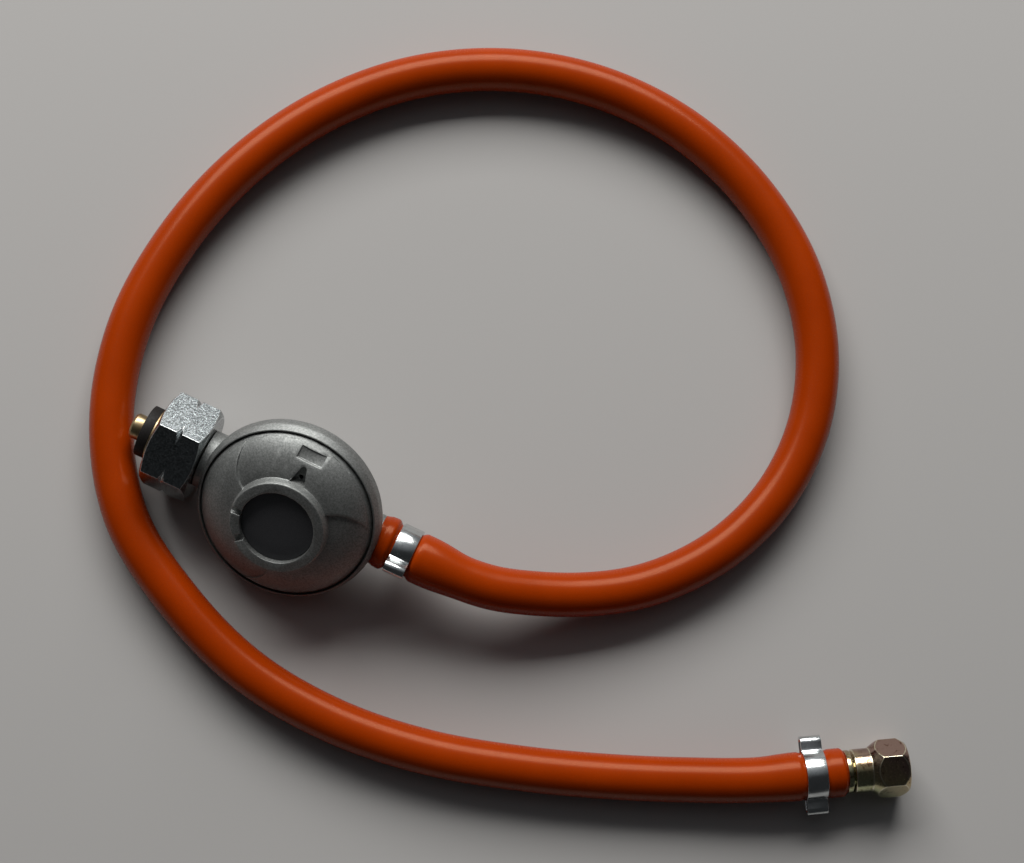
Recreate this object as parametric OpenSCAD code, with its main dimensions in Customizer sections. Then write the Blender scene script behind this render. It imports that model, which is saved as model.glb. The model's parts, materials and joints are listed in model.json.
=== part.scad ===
// Low-pressure gas regulator for an LPG cylinder, with its rubber hose, clamps and union nuts.
// Millimetres. The floor is z = 0 and +X is the way the gas flows through the regulator.
// The regulator leans over on its cone, as it does when it is laid down.

/* [Housing] */
// Radius of the round body's side wall
body_r = 31.2; // [30.8:0.1:33]
// Height of the rolled lip above the flow axis
rim_top = 11.2; // [11:0.1:12]
// Height of the upright side wall
rim_wall_h = 3.8; // [3:0.1:4.4]
// Drop of the sloping band between the lip and the side wall
rim_slope_h = 2.7; // [2.2:0.1:3]
// Thickness of the wall that is crimped round the cover
crimp_t = 0.9; // [0.7:0.05:1.1]
// How far the lip reaches over the cover's flange
lip_reach = 0.8; // [0.5:0.05:1]
// Height of the lip over the flange
lip_h = 2.4; // [2.2:0.05:2.6]
// Radius at the top of the cone under the body
bowl_r = 27; // [26:0.25:28.5]
// Radius of the flat foot under the cone
foot_r = 12; // [10:0.25:13]
// Depth of the foot below the flow axis
foot_depth = 12.8; // [12.6:0.1:15]
// Slope of the cone, which is also how far the body leans
lean = 35; // [32:0.5:36]
// Width of the ledge that the diaphragm is clamped on
ledge_w = 4.7; // [4:0.1:5.2]
// Depth of the chamber floor below the ledge
chamber_depth = 1.8; // [1.7:0.05:2.2]
// Radius of the inlet neck
neck_r = 10; // [8.5:0.25:11]
// Distance of the neck's face from the body's centre
neck_x = 33; // [32.5:0.25:36]
// Radius of the outlet boss
boss_r = 8.25; // [8:0.25:10]
// How far the hose's shoulder stands out of the side wall
shoulder_gap = 0.4; // [0.3:0.1:3]

/* [Cover] */
// Height of the raised ring's top above the flow axis
ring_top = 22.2; // [21.8:0.1:24]
// Outer radius of the raised ring
ring_r = 15.8; // [15:0.1:17]
// Height of the ring's side wall above the dome
ring_h = 4.1; // [3:0.1:4.4]
// Draft of the ring's side wall
ring_draft = 0.6; // [0.3:0.1:1]
// Thickness of the cover's flange
flange_t = 1.4; // [1.2:0.05:1.6]
// Gap of the groove between lip and dome
groove_w = 0.4; // [0.2:0.05:0.6]
// Radius of the spring tower's bore
tower_r = 11; // [10:0.1:11.6]
// Wall of the spring tower
tower_wall = 2.2; // [1.6:0.1:2.6]
// Length of the spring tower below the cap's seat
tower_h = 6.2; // [5.8:0.1:6.6]
// Width of the two notches in the ring
notch_w = 2.2; // [1.5:0.1:3]
// Depth of the two notches in the ring
notch_depth = 1.8; // [1:0.1:1.9]
// Radius of the vent hole
vent_r = 0.75; // [0.5:0.05:1]
// Length of the stamp recess
stamp_l = 8.8; // [6:0.2:10]
// Width of the stamp recess
stamp_w = 3.5; // [2.4:0.1:3.8]

/* [Cap and adjuster] */
// Radius of the cap that closes the ring
cap_r = 12.5; // [12:0.1:13.5]
// Thickness of the cap
cap_t = 1.6; // [1:0.1:2]
// How far the cap lies below the ring's top
cap_sink = 2; // [1.2:0.1:2.2]
// Thickness of the adjusting plug
adjuster_t = 4; // [3:0.1:4.4]
// Width across flats of the adjusting plug's socket
socket_af = 8; // [6:0.5:10]

/* [Diaphragm and spring] */
// Thickness of the diaphragm's clamped bead
bead_t = 1.2; // [1:0.05:1.4]
// Thickness of the diaphragm
membrane_t = 0.8; // [0.6:0.05:0.9]
// Height of the diaphragm's fold above the ledge
fold_h = 2.4; // [2:0.1:2.6]
// Half width of the diaphragm's fold
fold_w = 3.7; // [3.2:0.1:3.8]
// Lift of the diaphragm from open to shut
lift = 1.2; // [1:0.05:1.3]
// Gap between the spring plate and the diaphragm's fold
plate_gap = 1.5; // [1:0.1:4]
// Thickness of the spring plate
plate_t = 1; // [0.8:0.05:1.2]
// Wire diameter of the spring
wire_d = 1.3; // [1:0.05:1.5]
// Mean radius of the spring
spring_r = 8.4; // [7:0.1:9]
// Turns of the spring
spring_turns = 2.5; // [2:0.25:2.75]

/* [Lever and valve] */
// Distance of the fulcrum pin from the stem
pin_x = 11; // [10.8:0.1:11.4]
// Depth of the fulcrum pin below the flow axis
pin_drop = 6.2; // [6:0.05:6.4]
// Radius of the fulcrum pin
pin_r = 1; // [0.8:0.05:1.1]
// Half length of the fulcrum pin
pin_half = 10; // [9:0.25:10.5]
// Thickness of the lever's strip
strip_t = 1.4; // [1.1:0.05:1.5]
// Radius of the valve holder
holder_r = 3; // [2.7:0.05:3.1]
// Radius of the valve pad
pad_r = 2.8; // [2.4:0.05:3]
// Thickness of the valve pad
pad_t = 1.6; // [1.2:0.05:1.8]
// Radius of the screws' heads
screw_head_r = 2.6; // [2.3:0.05:2.7]

/* [Inlet] */
// Width across flats of the inlet nut
nut_af = 30; // [27:0.25:30]
// Length of the inlet nut
nut_l = 16.8; // [15.5:0.1:18]
// Minor radius of the inlet nut's thread
nut_thread_r = 9.74; // [9.6:0.02:10.2]
// Thickness of the inlet nut's rear wall
nut_wall = 5; // [4:0.1:7]
// How far the inlet nut is turned off its corner
nut_turn = 6.5; // [0:0.5:30]
// Radius of the nipple's stem
stem_r = 6; // [5.2:0.05:6.6]
// Radius of the nipple's flange
nipple_flange_r = 9.3; // [9:0.05:9.5]
// Thickness of the nipple's flange
nipple_flange_t = 1.2; // [0.8:0.1:2]
// How far the flange's back stands in front of the nut
flange_lead = 0.2; // [0.1:0.05:1]
// Radius of the rubber seal
seal_r = 8.85; // [8:0.05:9.2]
// Thickness of the rubber seal
seal_t = 3.6; // [2.5:0.1:4.5]
// Radius of the nipple's tip
tip_r = 4.35; // [3.6:0.05:5]
// Length of the nipple's tip in front of the seal
tip_l = 4.5; // [3.5:0.1:6]
// Radius of the gas way through the nipple
gas_r = 2; // [1.5:0.05:2.3]
// Radius of the valve seat's orifice
orifice_r = 1.2; // [0.8:0.05:1.4]

/* [Hose and clamps] */
// Outer radius of the hose
hose_r = 7.5; // [7.5:0.1:8]
// Bore radius of the hose
hose_bore_r = 4; // [3.5:0.1:4.4]
// Length of each nozzle inside the hose
nozzle_l = 24; // [20:0.5:24.4]
// Root radius of the nozzles
nozzle_r = 3.9; // [3.5:0.1:4.2]
// Barb radius of the nozzles
barb_r = 4.7; // [4.3:0.1:4.9]
// Width of the clamp bands
band_w = 7; // [5:0.25:8]
// Thickness of the clamp bands
band_t = 0.8; // [0.5:0.05:1]
// How far the clamps' ears stand out
ear_h = 4.7; // [3.5:0.1:6]
// Width of the clamps' ears
ear_w = 4.4; // [3:0.1:5]
// Distance of the regulator's clamp from the hose's end
clamp_in = 4.7; // [3.5:0.1:6]
// Distance of the far clamp from the hose's end
far_clamp_in = 7.2; // [3.5:0.1:8]
// How far the regulator's clamp is turned, so that one ear points down
clamp_turn = 47; // [0:1:60]

/* [Far fitting] */
// Height of the far fitting's axis
far_h = 9.05; // [9.05:0.05:12]
// Width across flats of the outlet nut
out_af = 17; // [17:0.1:18]
// Length of the outlet nut
out_l = 18.25; // [18:0.25:23]
// Minor radius of the outlet nut's thread
out_thread_r = 5.72; // [5.6:0.02:6]
// Outer radius of the outlet nut's round neck
out_neck_r = 7.35; // [6.8:0.05:8]
// Length of the outlet nut's round neck
out_neck_l = 5.8; // [5:0.1:7]
// Radius of the tail's collar
collar_r = 7.2; // [6.5:0.05:7.5]
// Thickness of the tail's collar
collar_t = 1.6; // [1:0.1:2.5]
// Radius of the tail's neck inside the nut
tail_neck_r = 4.6; // [4.2:0.05:4.9]
// Radius of the tail's head
tail_head_r = 5.5; // [5.2:0.02:5.55]
// How far the outlet nut is turned off its flat
out_turn = 7; // [0:0.5:30]

/* [Hidden] */
$fn = 64;

// Colours
zinc = [0.62, 0.63, 0.62];
cap_grey = [0.24, 0.24, 0.26];
plated = [0.78, 0.81, 0.82];
brass = [0.80, 0.66, 0.36];
black_rubber = [0.08, 0.08, 0.08];
orange = [0.80, 0.29, 0.04];
spring_steel = [0.55, 0.56, 0.58];

// Clearances
slip = 0.05;        // pieces that sit in each other
run = 0.1;          // the inlet nut on its stem, the outlet nut on its tail
seat_gap = 0.2;     // side play and end play
over = 1;           // how far a cutter runs past a face

// Heights above the flow axis, from the lip down
flange_top = rim_top - lip_h;
flange_low = flange_top - flange_t;
ledge_z = flange_low - bead_t;
chamber_z = ledge_z - chamber_depth;
wall_top = rim_top - rim_slope_h;
wall_low = wall_top - rim_wall_h;
bowl_z = (bowl_r - foot_r) * tan(lean) - foot_depth;

// Soft edges of the castings and of the clamps' ears
rim_edge = 0.7;
lip_flat = 0.5;
ring_edge = 0.6;
ear_root = 1.1;

// Radii of the crimped joint
crimp_r = body_r - crimp_t;
flange_r = crimp_r - run;
lip_r = crimp_r - lip_reach;
dome_r = lip_r - groove_w;
chamber_r = crimp_r - ledge_w;

// The housing lies on its cone: height of the flow axis, and how far it runs beside the origin
axis_h = foot_r * sin(lean) + foot_depth * cos(lean);
side_low = lip_r * cos(lean) + rim_top * sin(lean);
side_high = bowl_r * cos(lean) - bowl_z * sin(lean);
flow_y = (side_low - side_high) / 2;

// Cover
ring_low = ring_top - ring_h;
dome_edge = [dome_r, rim_top - 0.8];
dome_peak = [25.5, 15.9];
dome_foot = [ring_r + ring_draft, ring_low];
cap_seat = ring_top - cap_sink - cap_t;
tower_low = cap_seat - tower_h;
cavity_r = chamber_r + 1;
cavity_step = 1;
cavity_low = flange_low + cavity_step;
cavity_peak = [cavity_r - 2, flange_low + 6];
vent_floor = ring_low - 3;
vent_wall = 1.4;
vent_tip_r = 20.8;
vent_tip_w = 1.1;
vent_half = 2.7;
vent_way = 88.5;
notch_ways = [182, 222];

// Swirl steps on the dome
swirl_way = 38.5;
swirl_turn = 21;
swirl_r = 28.3;
swirl_tip = 2.8;
swirl_pivot = -8.5;
swirl_rise = 0.5;
swirl_deep = 1.2;
swirl_steps = 8;
swirl_lap = 1;
stamp_r = 25.1;
stamp_side = 0.4;
stamp_deep = 0.75;
stamp_shallow = 0.3;

// Diaphragm and its plate at rest, pushed down by the spring
rest_gap = 0.8;
membrane_z = chamber_z + rest_gap;
plate_z = membrane_z + membrane_t;
spring_z = plate_z + plate_t;
fold_r = chamber_r - fold_w + membrane_t;
plate_edge = 0.8;
plate_r = fold_r - fold_w - plate_gap;

// Stem
shank_r = 2.5;
head_r = 5;
head_t = 1.2;
waist_r = 1.8;
collar_fork_r = 3.2;
collar_fork_t = 1;
fork_play = 0.6;
clip_t = 0.7;

// Adjusting plug
adjuster_gap = 1;
adjuster_top = cap_seat - adjuster_gap;
adjuster_low = adjuster_top - adjuster_t;

// Lever: the fork stands at the level of the valve
fork_top = 0.25;
fork_low = fork_top - strip_t;
fork_half = 4.2;
fork_reach = 2.5;
fork_back = 5.6;
arm_half = 2.6;
hub_r = pin_r + 1;
hub_half = 3;
finger_half = 1.5;
finger_r = 1;
valve_lift = lift * pin_drop / pin_x;

// Pocket for the lever in the body
pocket_r = 20;
pocket_half = 12.5;
pocket_end = 6.5;
ledge_low = pin_r - pin_drop;
slot_half = hub_half + seat_gap;
slot_low = -pin_drop - hub_r - seat_gap * 2;
slot_start = pin_x + hub_r + seat_gap * 1.5;
slot_end = 5;
web_x = [-9.2, -6.9];
web_notch = ledge_low + 0.8;

// Valve
holder_end = 6.4;
cup_r = 3.5;
cup_l = 2;
pad_proud = 0.2;
shut_gap = 0.12;
pad_face = 16.6;
seat_x = pad_face + valve_lift + shut_gap;
cup_face = pad_face - pad_proud;

// Screws beside the pin
screw_at = [pin_x + screw_head_r - 0.2, 7.6];
screw_head_t = 1.4;
screw_r = 1.2;
screw_l = 4;

// Inlet, measured from the body's centre towards -X
nut_back = neck_x + 0.3;
nut_front = nut_back + nut_l;
flange_back = nut_front + flange_lead;
flange_front = flange_back + nipple_flange_t;
seal_front = flange_front + seal_t;
tip_end = seal_front + tip_l;
shank_in = 26;
shank_in_r = 4.8;
seat_body_r = 3;
orifice_l = 4;
filter_t = 1.5;
seal_seat_r = tip_r - 0.6;
nut_corner_r = nut_af / 2 / cos(30);
nut_chamfer = 1.3;
nut_notch_depth = 1.5;
nut_notch_w = 1.1;
thread_lead = 1;

// Outlet nozzle
shoulder_x = body_r + shoulder_gap;
nozzle_end = shoulder_x + nozzle_l;
nozzle_bore_r = 3;
barbs = 3;
barb_pitch = 5.5;
barb_start = nozzle_l - barbs * barb_pitch - 0.8;

// Where the body's centre lies, so that the origin is under the middle of the regulator
centre = [(tip_end - nozzle_end) / 2, flow_y];

// Clamps
band_in = hose_r + slip;
band_out = band_in + band_t;

// Far fitting: where the hose ends, and the way it points
far_end = [204.6, -3.5];
far_turn = 30;
far_way = [cos(far_turn), sin(far_turn)];
out_start = collar_t + 0.8;
out_end = out_start + out_l;
out_corner_r = out_af / 2 / cos(30);
out_flare = 3.8;
out_chamfer = 2.6;
head_l = 5;
head_tip_r = 4.2;
head_start = out_start + out_neck_l + run;
groove_r = 5.2;
relief_r = out_thread_r + 0.3;

// Route of the hose's centre line beside the flow axis, from the shoulder to the far fitting
straight_l = 24.5;
route = [
    [shoulder_x, 0, axis_h],
    [shoulder_x + straight_l, 0, axis_h],
    [71, 1.5, 15.8],
    [86, 6.5, 13],
    [101, 13.5, 10.3],
    [115, 22.5, 8.6],
    [127, 34, 7.7],
    [137, 48, 7.5],
    [146, 72, 7.5],
    [147, 98, 7.5],
    [140, 122.5, 7.5],
    [124, 146, 7.5],
    [97, 166, 7.5],
    [65, 177, 7.5],
    [32, 178, 7.5],
    [0, 169.5, 7.5],
    [-29, 152, 7.5],
    [-52, 127, 7.5],
    [-68, 97, 7.5],
    [-76.5, 64.5, 7.5],
    [-77.5, 31, 7.5],
    [-68.4, -1.2, 7.5],
    [-49.2, -28.4, 7.5],
    [-21, -46, 7.5],
    [9.5, -57, 7.5],
    [42, -60, 7.5],
    [74, -56.5, 7.5],
    [105.5, -48, 7.5],
    [131, -39, 7.5],
    [155.5, -29, 7.8],
    [far_end.x - straight_l * far_way.x, far_end.y - straight_l * far_way.y, far_h],
    [far_end.x, far_end.y, far_h]
];
hose_sides = 12;
ring_step = 4 * hose_r;
floor_r = hose_r;
// How the hose swells over a nozzle: distance from its end, and how much the radius grows
near_bulge = 1.6;
far_bulge = 0.5;
function swell(clamp_at, bulge) = [
    [0, 0.1], [0.9, bulge * 0.75], [clamp_at - 1.4, bulge], [clamp_at - 0.2, 0],
    [clamp_at + band_w + 0.2, 0], [clamp_at + band_w + 1.6, 0.3 + bulge / 2], [nozzle_l - 3, 0.4],
    [straight_l, 0.1]
];

// ---------------------------------------------------------------- shared shapes

// What belongs to the housing, in the leaning frame whose origin is on the flow axis
module in_housing() {
    translate([centre.x, centre.y, axis_h]) rotate([lean, 0, 0]) children();
}

// What lies on the hose's far end, along +X from the end of the hose
module at_far_end() {
    translate([centre.x + far_end.x, centre.y + far_end.y, far_h]) rotate([0, 0, far_turn]) children();
}

// A turned shape about X. Each point is [radius, x]
module turned(points) {
    rotate([0, 90, 0]) rotate_extrude() polygon(points);
}

// A hole or shaft along X
module along_x(x0, x1, r) {
    translate([x0, 0, 0]) rotate([0, 90, 0]) cylinder(h = x1 - x0, r = r);
}

// A block from one corner to the other
module block(low, high) {
    translate(low) cube(high - low);
}

// Points of a curve from a to c that leans towards b
function bend(a, b, c, steps) = [
    for (i = [0 : steps]) let (t = i / steps)
        (1 - t) * (1 - t) * a + 2 * t * (1 - t) * b + t * t * c
];

// The corner b between a and c, rounded over reach on both sides
function soft(a, b, c, reach) = bend(b + reach * unit(a - b), b, b + reach * unit(c - b), 3);

// Points of a half oval from angle a to angle b
function arch(centre, half_w, height, a, b, steps) = [
    for (i = [0 : steps]) let (w = a + (b - a) * i / steps)
        centre + [half_w * cos(w), height * sin(w)]
];

// Saw-tooth profile of a hose nozzle along +X from x0: sharp edges face the shoulder
function barb_points(x0) = [
    for (i = [0 : barbs - 1]) let (x = x0 + barb_start + i * barb_pitch)
        each [[nozzle_r, x], [barb_r, x + 0.3], [barb_r, x + 0.8], [nozzle_r, x + barb_pitch]]
];

// ---------------------------------------------------------------- housing

module lower_body() {
    low = [body_r, wall_low];
    high = [body_r, wall_top];
    lip = [lip_r + lip_flat, rim_top];
    color(zinc) in_housing() difference() {
        union() {
            rotate_extrude() polygon(concat(
                [[0, -foot_depth], [foot_r, -foot_depth], [bowl_r, bowl_z]],
                soft([bowl_r, bowl_z], low, high, rim_edge),
                soft(low, high, lip, rim_edge),
                soft(high, lip, [lip_r, rim_top], lip_flat * 0.8),
                [[0, rim_top]]
            ));
            along_x(-neck_x, -pocket_r, neck_r);
            along_x(pocket_r, shoulder_x, boss_r);
            turned(concat(
                [[0, shoulder_x - over], [nozzle_r, shoulder_x - over]],
                barb_points(shoulder_x),
                [[nozzle_r, nozzle_end], [0, nozzle_end]]
            ));
        }
        body_hollow();
        lever_pocket();
        along_x(-neck_x - over, -shank_in, shank_in_r + slip);
        along_x(-shank_in - over, -pocket_r + over * 2, seat_body_r + slip);
        along_x(slot_end, nozzle_end + over, nozzle_bore_r);
        for (side = [-1, 1]) screw_place(side) {
            translate([0, 0, -screw_l]) cylinder(h = screw_l + over, r = screw_r + slip);
        }
    }
}

// The recess for the cover's flange, the clamped bead and the chamber under the diaphragm
module body_hollow() {
    rotate_extrude() polygon([
        [0, chamber_z], [chamber_r, chamber_z], [chamber_r, ledge_z], [crimp_r, ledge_z],
        [crimp_r, flange_top + slip], [lip_r, flange_top + slip], [lip_r, rim_top + over],
        [0, rim_top + over]
    ]);
}

// Room for the lever and its pin, with the web that guides the valve holder
module lever_pocket() {
    difference() {
        intersection() {
            translate([0, 0, ledge_low]) cylinder(h = chamber_z - ledge_low + over, r = pocket_r);
            block([-pocket_r, -pocket_half, ledge_low], [pocket_end, pocket_half, chamber_z + over]);
        }
        block([web_x[0], -pocket_half - over, ledge_low - over], [web_x[1], pocket_half + over, chamber_z]);
    }
    block([-slot_start, -slot_half, slot_low], [slot_end, slot_half, ledge_low + slip]);
    block([web_x[0] - over, -slot_half, ledge_low - over], [web_x[1] + over, slot_half, web_notch]);
    along_x(web_x[0] - over, web_x[1] + over, holder_r + slip);
    pin_groove();
}

// The groove that the fulcrum pin drops into
module pin_groove() {
    half = pin_half + seat_gap;
    width = pin_r + slip / 2;
    translate([-pin_x, half, -pin_drop]) rotate([90, 0, 0]) cylinder(h = 2 * half, r = width);
    block([-pin_x - width, -half, -pin_drop], [-pin_x + width, half, ledge_low + over]);
}

module screw_place(side) {
    translate([-screw_at.x, side * screw_at.y, ledge_low]) children();
}

module cover() {
    color(zinc) in_housing() difference() {
        union() {
            rotate_extrude() polygon(concat(
                [[flange_r, flange_low], [flange_r, flange_top], [dome_r, flange_top]],
                bend(dome_edge, dome_peak, dome_foot, 10),
                soft(dome_foot, [ring_r, ring_top], [cap_r, ring_top], ring_edge),
                [
                    [cap_r, ring_top], [cap_r, cap_seat], [tower_r, cap_seat], [tower_r, tower_low],
                    [tower_r + tower_wall, tower_low]
                ],
                bend([tower_r + tower_wall, vent_floor - vent_wall], cavity_peak, [cavity_r, cavity_low], 6),
                [[cavity_r, flange_low]]
            ));
            for (i = [0 : 2]) rotate([0, 0, swirl_way + 120 * i]) swirl_ramp();
        }
        for (way = notch_ways) rotate([0, 0, way]) {
            block(
                [tower_r + 0.5, -notch_w / 2, ring_top - notch_depth],
                [ring_r + over, notch_w / 2, ring_top + over]
            );
        }
        rotate([0, 0, vent_way]) vent_recess();
        rotate([0, 0, vent_way]) stamp_recess();
    }
}

// A flat-bottomed recess that narrows away from the ring, with the vent hole beside the ring
module vent_recess() {
    difference() {
        translate([0, 0, vent_floor]) linear_extrude(ring_top - vent_floor) {
            polygon([
                [ring_r, -vent_half], [vent_tip_r, -vent_tip_w],
                [vent_tip_r, vent_tip_w], [ring_r, vent_half]
            ]);
            translate([vent_tip_r, 0]) circle(r = vent_tip_w);
        }
        cylinder(h = ring_top, r = ring_r + 0.3);
    }
    translate([ring_r + 1.4, 0, flange_low]) cylinder(h = ring_low - flange_low, r = vent_r);
}

// A recess with a flat floor cut into the sloping dome, deepest at its inner side
module stamp_recess() {
    inner = [stamp_r - stamp_w / 2, dome_height(stamp_r - stamp_w / 2) - stamp_deep];
    outer = [stamp_r + stamp_w / 2, dome_height(stamp_r + stamp_w / 2) - stamp_shallow];
    translate([0, stamp_l / 2 - stamp_side, 0]) rotate([90, 0, 0]) linear_extrude(stamp_l) {
        polygon([inner, outer, [outer.x, ring_top], [inner.x, ring_top]]);
    }
}

// One of three ramps that climb round the dome to a curved step. The ramp is the dome's own shape,
// tipped about the middle of the ramp. Its step starts at the ring, in direction X
module swirl_ramp() {
    middle = 60;
    intersection() {
        rotate([0, 0, middle]) translate([0, 0, swirl_pivot]) rotate([-swirl_tip, 0, 0]) {
            translate([0, 0, -swirl_pivot]) rotate_extrude() polygon(concat(
                bend(dome_edge, dome_peak + [0, swirl_rise], dome_foot + [0, swirl_rise], 10),
                [[ring_r - over, ring_low + swirl_rise], [ring_r - over, vent_floor]],
                bend(dome_foot - [0, swirl_deep], dome_peak - [0, swirl_deep], dome_edge - [0, swirl_deep], 4)
            ));
        }
        translate([0, 0, flange_low]) linear_extrude(ring_top - flange_low) polygon(concat(
            [for (i = [0 : swirl_steps]) swirl_edge(i / swirl_steps, 0)],
            [for (i = [1 : swirl_steps - 1]) let (w = -swirl_turn + 120 * i / swirl_steps)
                swirl_r * [cos(w), sin(w)]],
            [for (i = [swirl_steps : -1 : 0]) swirl_edge(i / swirl_steps, 120 + swirl_lap)]
        ));
    }
}

// Points of a step's curved line, from the ring at t = 0 to the outer edge at t = 1, turned by way
function swirl_edge(t, way) = let (r = ring_r - over + (swirl_r - ring_r + over) * t, w = way - swirl_turn * t * t)
    r * [cos(w), sin(w)];

// Height of the dome at a radius, from the same curve as the cover's profile
function dome_height(r) = let (
    a = dome_edge,
    c = dome_foot,
    qa = a.x - 2 * dome_peak.x + c.x,
    qb = 2 * (dome_peak.x - a.x),
    qc = a.x - r,
    t = (-qb - sqrt(qb * qb - 4 * qa * qc)) / (2 * qa)
) (1 - t) * (1 - t) * a.y + 2 * t * (1 - t) * dome_peak.y + t * t * c.y;

module label_cap() {
    edge = 0.2;
    r = cap_r - slip;
    color(cap_grey) in_housing() rotate_extrude() polygon([
        [0, cap_seat], [r, cap_seat], [r, cap_seat + cap_t - edge],
        [r - edge, cap_seat + cap_t], [0, cap_seat + cap_t]
    ]);
}

// ---------------------------------------------------------------- spring side

module adjuster() {
    color(brass) in_housing() difference() {
        translate([0, 0, adjuster_low]) cylinder(h = adjuster_t, r = tower_r - slip);
        translate([0, 0, adjuster_low - over]) {
            cylinder(h = adjuster_t + 2 * over, d = socket_af / cos(30), $fn = 6);
        }
    }
}

module main_spring() {
    sides = 8;
    steps_per_turn = 20;
    steps = ceil(spring_turns * steps_per_turn);
    low = spring_z + wire_d / 2 + slip;
    rise = adjuster_low - spring_z - wire_d - 2 * slip;
    points = [
        for (i = [0 : steps]) let (t = i / steps, w = 360 * spring_turns * t)
            for (k = [0 : sides - 1]) let (v = 360 * k / sides, r = spring_r + wire_d / 2 * cos(v))
                [r * cos(w), r * sin(w), low + rise * t + wire_d / 2 * sin(v)]
    ];
    color(spring_steel) in_housing() polyhedron(points, tube_faces(steps, sides));
}

module diaphragm() {
    inner_w = fold_w - membrane_t;
    inner_h = fold_h - membrane_t;
    fold = [fold_r, ledge_z];
    meet = asin(bead_t / fold_h);
    color(black_rubber) in_housing() rotate_extrude() polygon(concat(
        [[shank_r + slip, membrane_z], [fold_r - inner_w, membrane_z]],
        arch(fold, inner_w, inner_h, 180, 0, 12),
        [[flange_r, ledge_z], [flange_r, flange_low]],
        arch(fold, fold_w, fold_h, meet, 180, 12),
        [[fold_r - fold_w, plate_z], [shank_r + slip, plate_z]]
    ));
}

module diaphragm_plate() {
    color(plated) in_housing() rotate_extrude() polygon([
        [shank_r + slip, plate_z], [plate_r, plate_z], [plate_r, spring_z + plate_edge],
        [plate_r - plate_t, spring_z + plate_edge], [plate_r - plate_t, spring_z],
        [shank_r + slip, spring_z]
    ]);
}

module centre_stem() {
    top = spring_z + 2 * clip_t;
    upper = fork_top + fork_play;
    lower = fork_low - fork_play;
    color(brass) in_housing() rotate_extrude() polygon([
        [0, lower - collar_fork_t], [collar_fork_r, lower - collar_fork_t], [collar_fork_r, lower],
        [waist_r, lower], [waist_r, upper], [collar_fork_r, upper],
        [collar_fork_r, upper + collar_fork_t], [waist_r, upper + collar_fork_t],
        [waist_r, membrane_z - head_t], [head_r, membrane_z - head_t], [head_r, membrane_z],
        [shank_r, membrane_z], [shank_r, top], [0, top]
    ]);
}

module stem_clip() {
    color(spring_steel) in_housing() translate([0, 0, spring_z]) difference() {
        cylinder(h = clip_t, r = head_r);
        translate([0, 0, -over]) cylinder(h = clip_t + 2 * over, r = shank_r + slip);
    }
}

// ---------------------------------------------------------------- lever and valve

module lever() {
    color(plated) in_housing() difference() {
        union() {
            translate([-pin_x, hub_half, -pin_drop]) rotate([90, 0, 0]) {
                cylinder(h = 2 * hub_half, r = hub_r);
            }
            block([-pin_x - strip_t / 2, -finger_half, -pin_drop], [-pin_x + strip_t / 2, finger_half, 0]);
            translate([-pin_x, finger_half, 0]) rotate([90, 0, 0]) cylinder(h = 2 * finger_half, r = finger_r);
            block(
                [-pin_x, -arm_half, -pin_drop - strip_t / 2],
                [strip_t - fork_back, arm_half, -pin_drop + strip_t / 2]
            );
            block([-fork_back, -arm_half, -pin_drop], [strip_t - fork_back, arm_half, fork_top]);
            block([-fork_back, -fork_half, fork_low], [fork_reach, fork_half, fork_top]);
        }
        translate([-pin_x, hub_half + over, -pin_drop]) rotate([90, 0, 0]) {
            cylinder(h = 2 * (hub_half + over), r = pin_r + slip);
        }
        fork_gap = waist_r + 0.3;
        block([-fork_gap - 0.5, -fork_gap, fork_low - over], [fork_reach + over, fork_gap, fork_top + over]);
    }
}

module lever_pin() {
    color(spring_steel) in_housing() translate([-pin_x, pin_half, -pin_drop]) rotate([90, 0, 0]) {
        cylinder(h = 2 * pin_half, r = pin_r);
    }
}

module pin_screws() {
    color(plated) in_housing() for (side = [-1, 1]) screw_place(side) difference() {
        union() {
            translate([0, 0, 0]) cylinder(h = screw_head_t, r = screw_head_r);
            translate([0, 0, seat_gap - screw_l]) cylinder(h = screw_l, r = screw_r);
        }
        block(
            [-screw_head_r - over, -0.3, screw_head_t - 0.6],
            [screw_head_r + over, 0.3, screw_head_t + over]
        );
    }
}

module valve_holder() {
    slot_w = finger_r + run;
    color(brass) in_housing() difference() {
        union() {
            along_x(-cup_face, -holder_end, holder_r);
            along_x(-cup_face, cup_l - cup_face, cup_r);
        }
        along_x(-cup_face - over, pad_t - pad_face, pad_r + slip);
        block([-pin_x - slot_w, -finger_half - 0.3, -cup_r - over], [-pin_x + slot_w, finger_half + 0.3, 1.5]);
    }
}

module valve_pad() {
    color(black_rubber) in_housing() along_x(-pad_face, pad_t - pad_face, pad_r);
}

// ---------------------------------------------------------------- inlet

module inlet_nipple() {
    tip_edge = 0.8;
    seat_lip = 0.6;
    color(brass) in_housing() difference() {
        turned([
            [0, -tip_end], [tip_r - tip_edge, -tip_end], [tip_r, tip_edge - tip_end],
            [tip_r, -seal_front - slip], [seal_seat_r, -seal_front - slip], [seal_seat_r, -flange_front],
            [nipple_flange_r, -flange_front], [nipple_flange_r, -flange_back],
            [stem_r, -flange_back], [stem_r, -neck_x], [shank_in_r, -neck_x],
            [shank_in_r, -shank_in], [seat_body_r, -shank_in], [seat_body_r, -seat_x - seat_lip],
            [orifice_r + 0.9, -seat_x], [0, -seat_x]
        ]);
        along_x(-tip_end - over, -seat_x - orifice_l, gas_r);
        along_x(-tip_end - over, filter_t - tip_end + over, filter_r() + slip);
        along_x(-seat_x - orifice_l - over, over - seat_x, orifice_r);
    }
}

function filter_r() = gas_r + 0.6;

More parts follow.
